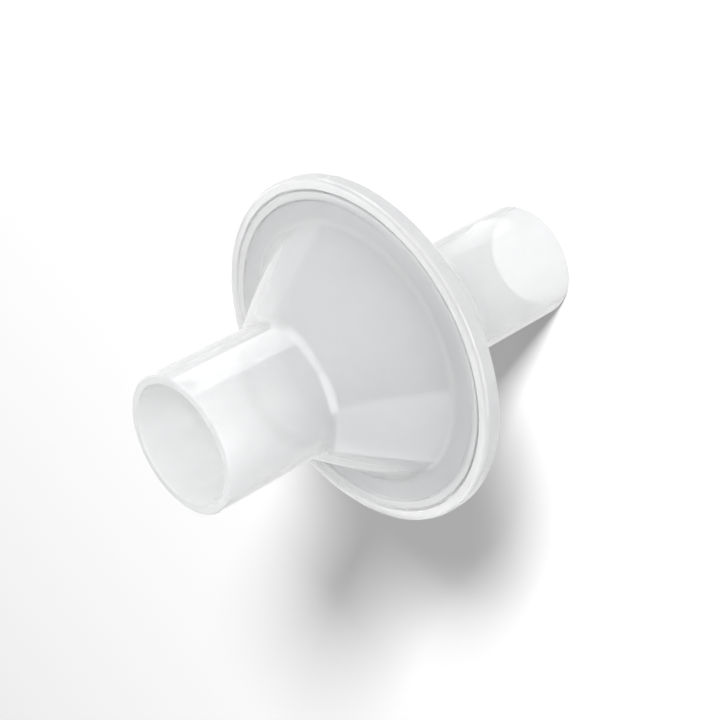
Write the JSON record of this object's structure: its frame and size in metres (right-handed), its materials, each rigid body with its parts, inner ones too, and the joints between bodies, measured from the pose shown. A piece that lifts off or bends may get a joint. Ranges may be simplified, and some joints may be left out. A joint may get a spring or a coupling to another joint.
{
  "type": "breathing circuit filter",
  "caption": "Inline breathing circuit filter: clear funnel-shaped halves welded at a round rim over a filter pad, with a 22 mm socket port and a 22 mm plug port.",
  "frame": {"origin": "centre of the outlet port's mouth, where the filter stands on its end", "axes": "+Z along the gas path from the outlet port up to the inlet port; X and Y are across, and the part is round about Z"},
  "size_m": [0.066, 0.066, 0.086],
  "materials": {
    "clear_housing": "clear moulded styrene plastic, polished, slightly milky",
    "filter_medium": "felted nonwoven, matt"
  },
  "bodies": {
    "root": {"inlet_housing": "clear_housing", "outlet_housing": "clear_housing", "filter_medium": "filter_medium"}
  },
  "joints": []
}
